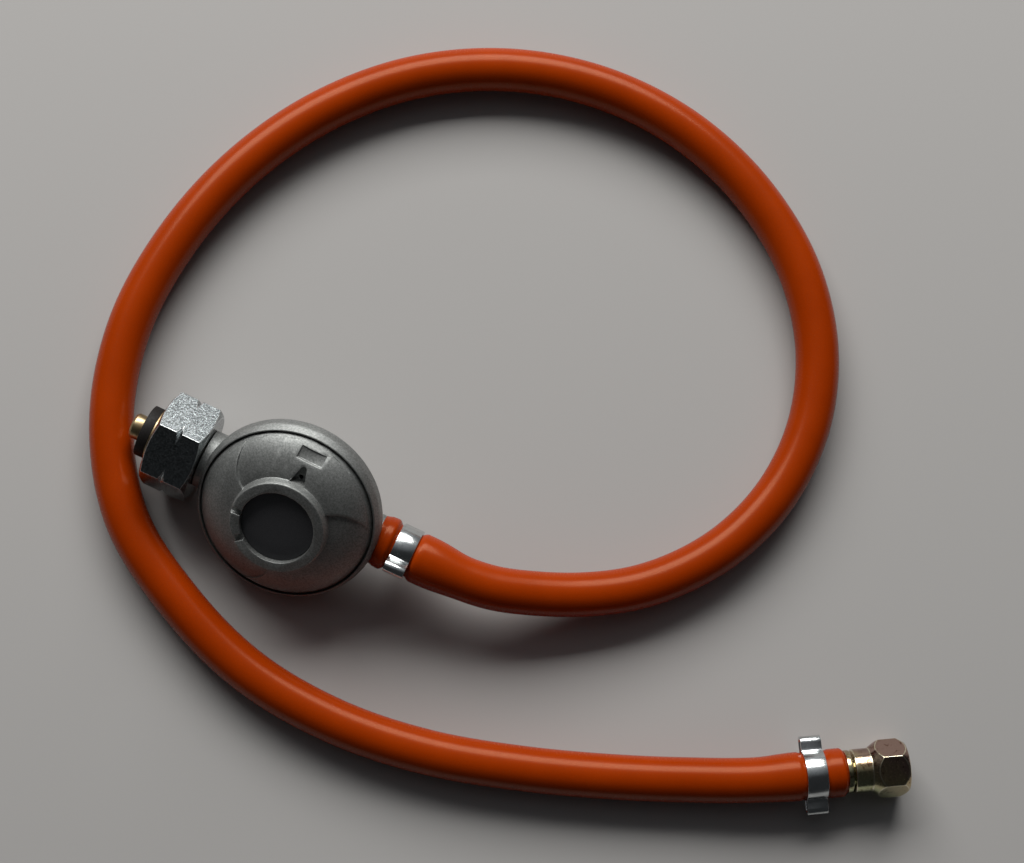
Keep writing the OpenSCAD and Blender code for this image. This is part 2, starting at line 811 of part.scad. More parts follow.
module inlet_filter() {
    pitch = 1.1;
    color(spring_steel) in_housing() difference() {
        along_x(over - tip_end, over + filter_t - tip_end, filter_r());
        for (y = [-1, 0, 1]) for (z = [-1, 0, 1]) {
            translate([0, y * pitch, z * pitch]) along_x(-tip_end, 2 * over + filter_t - tip_end, 0.35);
        }
    }
}

module inlet_seal() {
    color(black_rubber) in_housing() difference() {
        along_x(-seal_front, -flange_front, seal_r);
        along_x(-seal_front - over, over - flange_front, seal_seat_r + slip);
    }
}

// A hexagon bar along X with a corner up, cut to a turned outline of [radius, x] points
module hexagon(corner_r, x0, x1, outline) {
    intersection() {
        translate([x0, 0, 0]) rotate([0, 90, 0]) cylinder(h = x1 - x0, r = corner_r, $fn = 6);
        turned(outline);
    }
}

module inlet_nut() {
    face_r = nut_af / 2 - 0.4;
    clear_r = nut_corner_r + over;
    cavity = nut_back + nut_wall;
    middle = nut_back + nut_l / 2;
    color(plated) translate([centre.x, centre.y, axis_h]) rotate([-nut_turn, 0, 0]) difference() {
        hexagon(nut_corner_r, -nut_front, -nut_back, [
            [0, -nut_front], [face_r, -nut_front], [nut_corner_r, nut_chamfer - nut_front],
            [clear_r, nut_chamfer - nut_front], [clear_r, -nut_back - nut_chamfer],
            [nut_corner_r, -nut_back - nut_chamfer], [face_r, -nut_back], [0, -nut_back]
        ]);
        turned([
            [0, -nut_front - over], [nut_thread_r + thread_lead, -nut_front - over],
            [nut_thread_r + thread_lead, -nut_front], [nut_thread_r, thread_lead - nut_front],
            [nut_thread_r, -cavity], [0, -cavity]
        ]);
        along_x(-nut_front, over - nut_back, stem_r + run);
        turned([
            [clear_r, -middle - nut_notch_w * 1.6], [nut_corner_r - nut_notch_depth, -middle],
            [clear_r, nut_notch_w * 1.6 - middle]
        ]);
    }
}

// ---------------------------------------------------------------- hose and clamps

// Faces of a solid tube of rings, each with the same number of points
function tube_faces(steps, sides) = concat(
    [[for (k = [0 : sides - 1]) k]],
    [[for (k = [sides - 1 : -1 : 0]) steps * sides + k]],
    [
        for (i = [0 : steps - 1], k = [0 : sides - 1])
            let (a = i * sides + k, b = i * sides + (k + 1) % sides) each
                [[a, a + sides, b], [b, a + sides, b + sides]]
    ]
);

// Way of the route at a point: the two neighbouring runs, the shorter one counting more
function way(i) =
    i == 0 ? unit(route[1] - route[0]) :
    i == len(route) - 1 ? unit(route[i] - route[i - 1]) :
    let (a = route[i] - route[i - 1], b = route[i + 1] - route[i], la = norm(a), lb = norm(b))
        (a * lb / la + b * la / lb) / (la + lb);

function unit(v) = v / norm(v);

// A point at t = 0 to 1 along run i, and the way the hose points there
function spot(i, t) = let (h = norm(route[i + 1] - route[i]), a = run_way(i), b = run_way(i + 1))
    (2 * t * t * t - 3 * t * t + 1) * route[i] + (t * t * t - 2 * t * t + t) * h * a
    + (3 * t * t - 2 * t * t * t) * route[i + 1] + (t * t * t - t * t) * h * b;

// The straight end runs set the way at their inner ends
function run_way(i) =
    i == 1 ? way(0) :
    i == len(route) - 2 ? way(len(route) - 1) :
    way(i);

function heading(i, t) = unit(spot(i, min(t + 0.01, 1)) - spot(i, max(t - 0.01, 0)));

// Each ring is [centre, heading, outer radius, bore radius]
function end_rings(from, toward, clamp_at, bulge) = [
    for (s = swell(clamp_at, bulge)) [from + s[0] * toward, toward, hose_r + s[1], barb_r + 0.35]
];

function middle_rings() = [
    for (i = [1 : len(route) - 3])
        let (runs = max(1, round(norm(route[i + 1] - route[i]) / ring_step)))
            for (k = [0 : runs - 1]) if (i > 1 || k > 0)
                [spot(i, k / runs), heading(i, k / runs), hose_r, hose_bore_r]
];

function backwards(rings) = [
    for (i = [len(rings) - 1 : -1 : 0]) [rings[i][0], -rings[i][1], rings[i][2], rings[i][3]]
];

function ring_points(ring, r) = let (side = unit(cross(ring[1], [0, 0, 1])), up = cross(side, ring[1])) [
    for (k = [0 : hose_sides - 1]) let (w = 360 * k / hose_sides)
        ring[0] + r * (cos(w) * side + sin(w) * up)
];

// Faces of a pipe: outer rings first, then the rings of the bore, open at neither end
function pipe_faces(count, sides) = let (inner = count * sides) concat(
    [
        for (i = [0 : count - 2], k = [0 : sides - 1])
            let (a = i * sides + k, b = i * sides + (k + 1) % sides) each [
                [a, a + sides, b], [b, a + sides, b + sides],
                [inner + a, inner + b, inner + a + sides],
                [inner + b, inner + b + sides, inner + a + sides]
            ]
    ],
    [
        for (k = [0 : sides - 1]) let (b = (k + 1) % sides, last = (count - 1) * sides) each [
            [k, b, inner + k], [b, inner + b, inner + k],
            [last + b, last + k, inner + last + k], [inner + last + b, last + b, inner + last + k]
        ]
    ]
);

module hose() {
    last = len(route) - 1;
    rings = concat(
        end_rings(route[0], way(0), clamp_in, near_bulge),
        middle_rings(),
        backwards(end_rings(route[last], -way(last), far_clamp_in, far_bulge))
    );
    points = concat(
        [for (ring = rings) each ring_points(ring, ring[2])],
        [for (ring = rings) each ring_points(ring, ring[3])]
    );
    color(orange) translate([centre.x, centre.y, 0]) polyhedron(points, pipe_faces(len(rings), hose_sides));
}

// A two-ear clamp round X from x0 on, its ears on the two sides
module ear_clamp(x0) {
    color(plated) translate([x0, 0, 0]) rotate([90, 0, 90]) difference() {
        union() {
            cylinder(h = band_w, r = band_out);
            for (side = [0, 180]) rotate(side) linear_extrude(band_w) ear_outline(0);
        }
        translate([0, 0, -over]) {
            cylinder(h = band_w + 2 * over, r = band_in);
            for (side = [0, 180]) rotate(side) linear_extrude(band_w + 2 * over) ear_outline(band_t);
        }
    }
}

// The folded loop of an ear with its flared root, or with wall its hollow
module ear_outline(wall) {
    half = ear_w / 2 - wall;
    root = half + ear_root;
    seat = sqrt(pow(band_out - wall, 2) - root * root) - slip;
    neck = seat + 1.3 * ear_root;
    top = band_out + ear_h - ear_w / 2;
    polygon(concat(
        [[0, root]], bend([seat, root], [seat, half], [neck, half], 4),
        [[top, half], [top, -half]], bend([neck, -half], [seat, -half], [seat, -root], 4), [[0, -root]]
    ));
    translate([top, 0]) circle(r = half);
}

module regulator_clamp() {
    translate([centre.x, centre.y, axis_h]) rotate([-clamp_turn, 0, 0]) ear_clamp(shoulder_x + clamp_in);
}

module far_clamp() {
    at_far_end() ear_clamp(-far_clamp_in - band_w);
}

// ---------------------------------------------------------------- far fitting

module hose_tail() {
    color(brass) at_far_end() difference() {
        turned(concat(
            [
                [0, head_start + head_l], [head_tip_r, head_start + head_l],
                [tail_head_r, head_start + head_l / 2], [tail_head_r, head_start],
                [tail_neck_r, head_start], [tail_neck_r, collar_t + seat_gap],
                [groove_r, collar_t + seat_gap], [groove_r, collar_t], [collar_r, collar_t],
                [collar_r, 0], [nozzle_r, 0]
            ],
            [for (p = barb_points(0)) [p.x, -p.y]],
            [[nozzle_r, -nozzle_l], [0, -nozzle_l]]
        ));
        along_x(-nozzle_l - over, head_start + head_l + over, nozzle_bore_r);
    }
}

module outlet_nut() {
    neck_end = out_start + out_neck_l;
    relief_end = head_start + head_l + seat_gap;
    face_r = out_corner_r - 1.6;
    clear_r = out_corner_r + over;
    color(brass) at_far_end() rotate([30 + out_turn, 0, 0]) difference() {
        hexagon(out_corner_r, out_start, out_end, [
            [0, out_start], [out_neck_r - 0.3, out_start], [out_neck_r, out_start + 0.3],
            [out_neck_r, neck_end], [out_corner_r, neck_end + out_flare], [clear_r, neck_end + out_flare],
            [clear_r, out_end - out_chamfer], [out_corner_r, out_end - out_chamfer],
            [face_r, out_end], [0, out_end]
        ]);
        along_x(out_start - over, out_end, tail_neck_r + run);
        turned([
            [0, neck_end], [relief_r, neck_end], [relief_r, relief_end], [out_thread_r, relief_end],
            [out_thread_r, out_end - thread_lead], [out_thread_r + thread_lead, out_end],
            [out_thread_r + thread_lead, out_end + over], [0, out_end + over]
        ]);
    }
}

// ---------------------------------------------------------------- nodes

lower_body();
cover();
label_cap();
adjuster();
main_spring();
diaphragm();
diaphragm_plate();
centre_stem();
stem_clip();
lever();
lever_pin();
pin_screws();
valve_holder();
valve_pad();
inlet_nipple();
inlet_filter();
inlet_seal();
inlet_nut();
hose();
regulator_clamp();
far_clamp();
hose_tail();
outlet_nut();
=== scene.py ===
"""Looks for a cylinder gas regulator and its rubber hose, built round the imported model."""
import json
from math import cos, pi, radians, sin

import bmesh
import bpy
from mathutils import Matrix, Vector

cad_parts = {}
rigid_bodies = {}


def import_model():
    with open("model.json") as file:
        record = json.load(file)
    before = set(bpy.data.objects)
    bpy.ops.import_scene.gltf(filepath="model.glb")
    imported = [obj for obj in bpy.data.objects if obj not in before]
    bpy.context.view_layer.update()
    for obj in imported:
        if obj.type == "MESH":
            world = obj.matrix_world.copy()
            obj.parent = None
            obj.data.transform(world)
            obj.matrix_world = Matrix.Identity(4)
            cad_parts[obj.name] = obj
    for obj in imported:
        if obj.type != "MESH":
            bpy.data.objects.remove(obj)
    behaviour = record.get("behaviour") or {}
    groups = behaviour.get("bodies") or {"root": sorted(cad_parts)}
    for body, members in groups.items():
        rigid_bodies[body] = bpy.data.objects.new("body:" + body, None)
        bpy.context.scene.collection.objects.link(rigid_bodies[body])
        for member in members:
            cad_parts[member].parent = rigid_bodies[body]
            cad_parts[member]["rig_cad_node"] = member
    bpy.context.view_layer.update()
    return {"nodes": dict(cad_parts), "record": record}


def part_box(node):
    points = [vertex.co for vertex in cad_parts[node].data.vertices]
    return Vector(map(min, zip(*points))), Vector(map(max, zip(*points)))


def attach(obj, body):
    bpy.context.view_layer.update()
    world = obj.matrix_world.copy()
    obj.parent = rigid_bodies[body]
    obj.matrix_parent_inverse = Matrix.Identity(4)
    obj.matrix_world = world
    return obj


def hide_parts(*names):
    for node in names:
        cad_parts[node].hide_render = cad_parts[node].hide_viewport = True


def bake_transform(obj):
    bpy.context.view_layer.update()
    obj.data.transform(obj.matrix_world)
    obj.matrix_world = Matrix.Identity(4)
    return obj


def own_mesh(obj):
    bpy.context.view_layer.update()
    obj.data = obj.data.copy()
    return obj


MM = 0.001


def deselect():
    bpy.ops.object.select_all(action="DESELECT")


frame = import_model()
deselect()


# Edges below these angles are shaded smooth, on round pieces and on machined ones
ROUND, MACHINED = radians(50), radians(35)
# Points closer than this are one, and faces that lean less than this are one
SAME_PLACE, SAME_FACE = 0.002 * MM, radians(0.6)


# ------------------------------------------------------------------ places taken from the frame

def middle(node):
    """Middle of a CAD node's box."""
    low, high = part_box(node)
    return (Vector(low) + Vector(high)) / 2


def joint(name):
    """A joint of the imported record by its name."""
    return next(j for j in frame["record"]["behaviour"]["joints"] if j["name"] == name)


# The flow axis runs through the inlet nut, and crosses the dome's axis at the body's centre
dome_axis = Vector(joint("stem_lift")["axis"])
nut_middle = middle("inlet_nut")
body_centre = Vector((middle("label_cap").x, nut_middle.y, nut_middle.z))

# The far fitting's own frame: x runs out of the hose's end
FAR_TURN = radians(30)
NUT_MIDDLE_X = 11.525 * MM
far_way = Vector(joint("outlet_nut_turn")["axis"]).normalized()
far_end = Vector(joint("outlet_nut_turn")["pos_m"]) - NUT_MIDDLE_X * far_way
FAR = Matrix.Translation(far_end) @ Matrix.Rotation(FAR_TURN, 4, "Z")


# ------------------------------------------------------------------ camera

CAMERA_AT = (0.06595, -0.0641, 0.7130)
CAMERA_TURN = (9.14, -3.50, 24.86)
LENS = 73.83


def add_camera():
    bpy.ops.object.camera_add(location=CAMERA_AT, rotation=[radians(a) for a in CAMERA_TURN])
    camera = bpy.context.object
    camera.data.lens = LENS
    camera.data.sensor_width = 36
    camera.data.sensor_fit = "HORIZONTAL"
    camera.data.dof.use_dof = False
    bpy.context.scene.camera = camera


add_camera()


# ------------------------------------------------------------------ hose

# All in millimetres
HOSE_R = 7.5
SHOULDER_X = 31.6
STRAIGHT = 24.5
AXIS_H = 17.368
FAR_H = 9.05
HOSE_END = (204.6, -3.5)

# The clamps: how far each band is from the hose's end, the bulge beside it, and the band's width
CLAMP_AT, BULGE = 4.7, 1.6
FAR_CLAMP_AT, FAR_BULGE = 7.2, 0.65
BAND_W = 7
# The hose's lip, how much it is rounded off and over what length
LIP, LIP_LENGTH = 0.9, 1.3
# The sleeve that goes on under the rim, past the hose's shoulder, and grows into the first bulge
SLEEVE_R, SLEEVE_START, BULGE_R = 8.35, -1.9, HOSE_R + BULGE
# From where to where the bulge behind a band runs out into the plain hose
RUN_OUT = (17, 31)

# Distances from both ends at which the radius is set one by one; between them it is set at the line's points
NEAR_STEPS = (
    -1.7, -1.3, -0.9, -0.5, 0, 0.4, 0.9, 1.3, 1.8, 2.4, 3.0, 3.5,
    3.9, 4.3, 4.7, 5.2, 6.0, 8.0, 10.5, 11.2, 12.0, 12.8, 13.6, 15,
)
FAR_STEPS = (
    0, 0.3, 0.7, 1.2, 1.8, 2.6, 4.0, 5.4, 6.2, 6.8, 7.4, 8.5, 10.5, 13.2, 14.0, 14.8, 15.6, 16.4,
)
NEAR_DONE, FAR_DONE = 16, 17

# The centre line beside the flow axis, in millimetres, as the tube in the model has it
ROUTE = [Vector(p) for p in (
    (SHOULDER_X, 0, AXIS_H), (SHOULDER_X + STRAIGHT, 0, AXIS_H), (71, 1.5, 15.8), (86, 6.5, 13),
    (101, 13.5, 10.3), (115, 22.5, 8.6), (127, 34, 7.7), (137, 48, 7.5), (146, 72, 7.5),
    (147, 98, 7.5), (140, 122.5, 7.5), (124, 146, 7.5), (97, 166, 7.5), (65, 177, 7.5),
    (32, 178, 7.5), (0, 169.5, 7.5), (-29, 152, 7.5), (-52, 127, 7.5), (-68, 97, 7.5),
    (-76.5, 64.5, 7.5), (-77.5, 31, 7.5), (-68.4, -1.2, 7.5), (-49.2, -28.4, 7.5), (-21, -46, 7.5),
    (9.5, -57, 7.5), (42, -60, 7.5), (74, -56.5, 7.5), (105.5, -48, 7.5), (131, -39, 7.5),
    (155.5, -29, 7.8),
    (HOSE_END[0] - STRAIGHT * cos(FAR_TURN), HOSE_END[1] - STRAIGHT * sin(FAR_TURN), FAR_H),
    (HOSE_END[0], HOSE_END[1], FAR_H),
)]


def route_way(i):
    """Way of the route at point i; the straight ends keep their own way."""
    last = len(ROUTE) - 1
    if i < 2:
        return (ROUTE[1] - ROUTE[0]).normalized()
    if i > last - 2:
        return (ROUTE[last] - ROUTE[last - 1]).normalized()
    back, ahead = ROUTE[i] - ROUTE[i - 1], ROUTE[i + 1] - ROUTE[i]
    a, b = back.length, ahead.length
    return (back * b / a + ahead * a / b) / (a + b)


def hose_line(step=2.0):
    """Points of a smooth line through the whole route."""
    line = []
    for i in range(len(ROUTE) - 1):
        length = (ROUTE[i + 1] - ROUTE[i]).length
        count = max(2, round(length / step))
        a, b = ROUTE[i], ROUTE[i + 1]
        va, vb = route_way(i) * length, route_way(i + 1) * length
        for k in range(count):
            t = k / count
            line.append((2 * t**3 - 3 * t**2 + 1) * a + (t**3 - 2 * t**2 + t) * va
                        + (3 * t**2 - 2 * t**3) * b + (t**3 - t**2) * vb)
    line.append(ROUTE[-1].copy())
    return line


def ease(x, x0, x1):
    """0 before x0, 1 after x1, and smooth between them."""
    t = min(1.0, max(0.0, (x - x0) / (x1 - x0)))
    return t * t * (3 - 2 * t)


def swell(x, clamp_at, bulge):
    """Radius of the hose at x from its end: rounded lip, bulge, squeeze under the band, bulge, plain."""
    lip = -LIP * (1 - ease(x, 0, LIP_LENGTH)) ** 2
    before = bulge * ease(x, -0.6, 1.6) * (1 - ease(x, clamp_at - 1.9, clamp_at + 0.2))
    band_end = clamp_at + BAND_W
    after = (0.3 + bulge / 2) * ease(x, band_end - 0.2, band_end + 1.8) * (1 - ease(x, *RUN_OUT))
    return HOSE_R + lip + before + after


def near_radius(x):
    """Radius of the hose at x from the regulator's end, where the sleeve takes the place of the lip."""
    if x < LIP_LENGTH:
        return SLEEVE_R + (BULGE_R - SLEEVE_R) * ease(x, SLEEVE_START, LIP_LENGTH)
    return swell(x, CLAMP_AT, BULGE)


def hose_points():
    """The centre line's points from the regulator to the far end, each with the radius there."""
    line = hose_line()
    start_way, end_way = route_way(0), route_way(len(ROUTE) - 1)
    points = [(ROUTE[0] + d * start_way, near_radius(d)) for d in NEAR_STEPS]
    run = 0.0
    total = sum((b - a).length for a, b in zip(line, line[1:]))
    for a, b in zip(line, line[1:]):
        run += (b - a).length
        if NEAR_DONE < run < total / 2:
            points.append((b, swell(run, CLAMP_AT, BULGE)))
        elif total / 2 <= run < total - FAR_DONE:
            points.append((b, swell(total - run, FAR_CLAMP_AT, FAR_BULGE)))
    points += [(ROUTE[-1] - d * end_way, swell(d, FAR_CLAMP_AT, FAR_BULGE)) for d in reversed(FAR_STEPS)]
    return points


def add_hose(points):
    """The rubber tube, from a curve with a round section, and its centre line in the frame."""
    data = bpy.data.curves.new("hose_rubber", "CURVE")
    data.dimensions = "3D"
    data.twist_mode = "Z_UP"
    data.bevel_depth = HOSE_R * MM
    data.bevel_resolution = 10
    data.use_fill_caps = True
    spline = data.splines.new("POLY")
    spline.points.add(len(points) - 1)
    shift = Vector((body_centre.x, body_centre.y, 0))
    for place, (p, r) in zip(spline.points, points):
        place.co = (*(p * MM + shift), 1)
        place.radius = r / HOSE_R
    hose = bpy.data.objects.new("hose_rubber", data)
    bpy.context.collection.objects.link(hose)
    bpy.context.view_layer.objects.active = hose
    hose.select_set(True)
    bpy.ops.object.convert(target="MESH")
    hose = bpy.context.object
    bpy.ops.object.shade_smooth_by_angle(angle=ROUND)
    deselect()
    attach(hose, "root")
    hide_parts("hose")
    return hose, [p * MM + shift for p, _ in points]


hose, hose_path = add_hose(hose_points())


# ------------------------------------------------------------------ finishes

def new_finish(name, **sockets):
    """A material whose shader has these constants; returns it with its node tree and shader."""
    mat = bpy.data.materials.new(name)
    mat.use_nodes = True
    tree = mat.node_tree
    shader = tree.nodes["Principled BSDF"]
    for socket, value in sockets.items():
        shader.inputs[socket.replace("_", " ")].default_value = value
    return mat, tree, shader


def coordinates(tree, scale=(1, 1, 1)):
    """Object coordinates, stretched by scale."""
    place = tree.nodes.new("ShaderNodeTexCoord")
    stretch = tree.nodes.new("ShaderNodeMapping")
    stretch.inputs["Scale"].default_value = scale
    tree.links.new(place.outputs["Object"], stretch.inputs["Vector"])
    return stretch.outputs["Vector"]


def noise(tree, vector, scale, detail=4.0, rough=0.55, distortion=0.0):
    node = tree.nodes.new("ShaderNodeTexNoise")
    node.inputs["Scale"].default_value = scale
    node.inputs["Detail"].default_value = detail
    node.inputs["Roughness"].default_value = rough
    node.inputs["Distortion"].default_value = distortion
    tree.links.new(vector, node.inputs["Vector"])
    return node.outputs["Fac"]


def cells(tree, vector, scale):
    """A random grey for each cell of a cracked pattern."""
    node = tree.nodes.new("ShaderNodeTexVoronoi")
    node.inputs["Scale"].default_value = scale
    tree.links.new(vector, node.inputs["Vector"])
    split = tree.nodes.new("ShaderNodeSeparateColor")
    tree.links.new(node.outputs["Color"], split.inputs["Color"])
    return split.outputs["Red"]


def ramp(tree, value, stops):
    """Colours by a value from 0 to 1; stops are (place, colour or grey)."""
    node = tree.nodes.new("ShaderNodeValToRGB")
    elements = node.color_ramp.elements
    while len(elements) < len(stops):
        elements.new(0.5)
    for element, (place, colour) in zip(elements, stops):
        element.position = place
        element.color = (*colour, 1) if hasattr(colour, "__len__") else (colour, colour, colour, 1)
    tree.links.new(value, node.inputs["Fac"])
    return node.outputs["Color"]


def blended(tree, kind, factor, a, b):
    """Two colours mixed; factor, a and b are sockets or constants."""
    node = tree.nodes.new("ShaderNodeMix")
    node.data_type = "RGBA"
    node.blend_type = kind
    for socket, value in ((node.inputs[0], factor), (node.inputs[6], a), (node.inputs[7], b)):
        if isinstance(value, bpy.types.NodeSocket):
            tree.links.new(value, socket)
        else:
            socket.default_value = value
    return node.outputs[2]


def bump(tree, shader, height, strength, depth):
    node = tree.nodes.new("ShaderNodeBump")
    node.inputs["Strength"].default_value = strength
    node.inputs["Distance"].default_value = depth
    tree.links.new(height, node.inputs["Height"])
    tree.links.new(node.outputs["Normal"], shader.inputs["Normal"])


def make_cast_zinc():
    """Blasted die-cast zinc: satin grey with a grain that catches the light and a slow change of tone."""
    mat, tree, shader = new_finish("cast_zinc", Metallic=0.9)
    at = coordinates(tree)
    grain = noise(tree, at, 1600, 6, 0.75)
    fine = noise(tree, at, 3600, 3, 0.6)
    tone = noise(tree, at, 70, 3)
    colour = ramp(tree, grain, [(0.34, (0.19, 0.20, 0.195)), (0.66, (0.40, 0.41, 0.40))])
    shade = ramp(tree, tone, [(0.3, 0.86), (0.7, 1.0)])
    tree.links.new(blended(tree, "MULTIPLY", 1.0, colour, shade), shader.inputs["Base Color"])
    tree.links.new(ramp(tree, fine, [(0.25, 0.5), (0.75, 0.66)]), shader.inputs["Roughness"])
    bump(tree, shader, grain, 0.55, 0.1 * MM)
    return mat


def make_rubbed_and_highlit_zinc():
    """The same casting where its edges are rubbed a little brighter; the lighter colour is also a painted
    highlight along those edges.
    """
    mat, tree, shader = new_finish("rubbed_and_highlit_zinc", Metallic=0.95)
    grain = noise(tree, coordinates(tree), 1250, 5, 0.7)
    tree.links.new(ramp(tree, grain, [(0.35, (0.28, 0.29, 0.285)), (0.65, (0.47, 0.48, 0.47))]),
                   shader.inputs["Base Color"])
    tree.links.new(ramp(tree, grain, [(0.3, 0.6), (0.7, 0.44)]), shader.inputs["Roughness"])
    bump(tree, shader, grain, 0.35, 0.08 * MM)
    return mat


def make_spangled_zinc():
    """Zinc plating on the big hexagon: bright, with a frosty mottle of small crystals."""
    mat, tree, shader = new_finish("spangled_zinc", Metallic=1.0)
    at = coordinates(tree)
    mottle = noise(tree, at, 1900, 4, 0.7, 0.8)
    spangle = cells(tree, at, 2300)
    colour = ramp(tree, mottle, [(0.41, (0.18, 0.205, 0.21)), (0.57, (0.56, 0.60, 0.61))])
    shade = ramp(tree, spangle, [(0.0, 0.55), (1.0, 1.0)])
    tree.links.new(blended(tree, "MULTIPLY", 1.0, colour, shade), shader.inputs["Base Color"])
    tree.links.new(ramp(tree, mottle, [(0.3, 0.28), (0.7, 0.2)]), shader.inputs["Roughness"])
    bump(tree, shader, mottle, 0.5, 0.09 * MM)
    return mat


def make_bright_zinc():
    """Rolled and plated strip of the clamps: smooth, with fine scratches across it."""
    mat, tree, shader = new_finish("bright_zinc", Metallic=1.0)
    wear = noise(tree, coordinates(tree), 500, 5, 0.65)
    scratches = noise(tree, coordinates(tree, (1, 0.12, 1)), 5200, 3, 0.6, 0.3)
    colour = ramp(tree, wear, [(0.3, (0.58, 0.61, 0.61)), (0.7, (0.74, 0.77, 0.77))])
    lines = ramp(tree, scratches, [(0.34, 0.72), (0.46, 1.0)])
    tree.links.new(blended(tree, "MULTIPLY", 1.0, colour, lines), shader.inputs["Base Color"])
    tree.links.new(ramp(tree, wear, [(0.3, 0.26), (0.7, 0.15)]), shader.inputs["Roughness"])
    bump(tree, shader, scratches, 0.25, 0.04 * MM)
    return mat


def make_worn_and_highlit_zinc():
    """Plating polished by handling along the edges of the nut and the clamps; the lighter colour is also a
    painted highlight along those edges.
    """
    mat, tree, shader = new_finish("worn_and_highlit_zinc", Metallic=1.0)
    wear = noise(tree, coordinates(tree), 1300, 4, 0.7)
    tree.links.new(ramp(tree, wear, [(0.35, (0.56, 0.59, 0.60)), (0.6, (0.86, 0.88, 0.88))]),
                   shader.inputs["Base Color"])
    tree.links.new(ramp(tree, wear, [(0.3, 0.3), (0.7, 0.14)]), shader.inputs["Roughness"])
    bump(tree, shader, wear, 0.2, 0.04 * MM)
    return mat


def make_turned_brass():
    """Plain brass with the fine rings of the lathe and a dull brown stain."""
    mat, tree, shader = new_finish("turned_brass", Metallic=1.0)
    rings = noise(tree, coordinates(tree, (1, 0.04, 0.04)), 9000, 2)
    stain = noise(tree, coordinates(tree), 320, 5, 0.65)
    tree.links.new(ramp(tree, stain, [(0.3, (0.30, 0.21, 0.11)), (0.7, (0.62, 0.49, 0.29))]),
                   shader.inputs["Base Color"])
    tree.links.new(ramp(tree, stain, [(0.3, 0.44), (0.7, 0.26)]), shader.inputs["Roughness"])
    bump(tree, shader, rings, 0.25, 0.03 * MM)
    return mat


def make_yellow_chromate():
    """Yellow passivated plating: polished, rosy and darker on one side and greenish and lighter on the
    other, partly its own tint and partly painted shade and reflection, with brown stains.
    """
    mat, tree, shader = new_finish("yellow_chromate", Metallic=1.0)
    at = coordinates(tree)
    split = tree.nodes.new("ShaderNodeSeparateXYZ")
    tree.links.new(at, split.inputs["Vector"])
    # Across the nut in y: greenish and lighter on one side, rosy and darker on the other; partly the
    # plating's own tint, partly painted shade and reflection of its facets
    across = tree.nodes.new("ShaderNodeMapRange")
    for socket, value in (("From Min", far_end.y - 4 * MM), ("From Max", far_end.y + 14 * MM)):
        across.inputs[socket].default_value = value
    tree.links.new(split.outputs["Y"], across.inputs["Value"])
    side_shade_and_tint = blended(tree, "LINEAR_LIGHT", 0.35, across.outputs["Result"], noise(tree, at, 160, 3))
    gold = ramp(tree, side_shade_and_tint, [
        (0.1, (0.52, 0.54, 0.32)), (0.45, (0.54, 0.43, 0.25)), (0.8, (0.42, 0.28, 0.23)),
    ])
    speckle = noise(tree, at, 1500, 5, 0.7)
    stain = noise(tree, at, 420, 5, 0.7, 0.5)
    worn = ramp(tree, speckle, [(0.3, 0.6), (0.42, 1.0)])
    brown = ramp(tree, stain, [(0.36, (0.42, 0.30, 0.22)), (0.43, (1.0, 1.0, 1.0))])
    tree.links.new(blended(tree, "MULTIPLY", 1.0, blended(tree, "MULTIPLY", 1.0, gold, worn), brown),
                   shader.inputs["Base Color"])
    tree.links.new(ramp(tree, speckle, [(0.3, 0.3), (0.6, 0.11)]), shader.inputs["Roughness"])
    bump(tree, shader, speckle, 0.1, 0.03 * MM)
    return mat


def make_worn_and_highlit_chromate():
    """The far nut's edges, where the yellow is rubbed pale; the pale colour is also a painted highlight
    along those edges.
    """
    mat, tree, shader = new_finish("worn_and_highlit_chromate", Metallic=1.0)
    wear = noise(tree, coordinates(tree), 1300, 4, 0.7)
    tree.links.new(ramp(tree, wear, [(0.35, (0.66, 0.56, 0.36)), (0.6, (0.90, 0.84, 0.66))]),
                   shader.inputs["Base Color"])
    tree.links.new(ramp(tree, wear, [(0.3, 0.26), (0.7, 0.12)]), shader.inputs["Roughness"])
    bump(tree, shader, wear, 0.15, 0.03 * MM)
    return mat


def make_dark_cap():
    """Matt dark grey plastic disc."""
    mat, tree, shader = new_finish("dark_cap", Metallic=0.0)
    grain = noise(tree, coordinates(tree), 3200, 3)
    tree.links.new(ramp(tree, grain, [(0.3, (0.048, 0.049, 0.053)), (0.7, (0.072, 0.073, 0.079))]),
                   shader.inputs["Base Color"])
    tree.links.new(ramp(tree, grain, [(0.3, 0.52), (0.7, 0.4)]), shader.inputs["Roughness"])
    bump(tree, shader, grain, 0.25, 0.03 * MM)
    return mat


def make_black_rubber():
    mat, tree, shader = new_finish("black_rubber", Metallic=0.0, Specular_IOR_Level=0.22)
    grain = noise(tree, coordinates(tree), 1800, 4)
    tree.links.new(ramp(tree, grain, [(0.3, (0.006, 0.005, 0.005)), (0.7, (0.015, 0.013, 0.012))]),
                   shader.inputs["Base Color"])
    tree.links.new(ramp(tree, grain, [(0.3, 0.72), (0.7, 0.5)]), shader.inputs["Roughness"])
    bump(tree, shader, grain, 0.25, 0.04 * MM)
    return mat


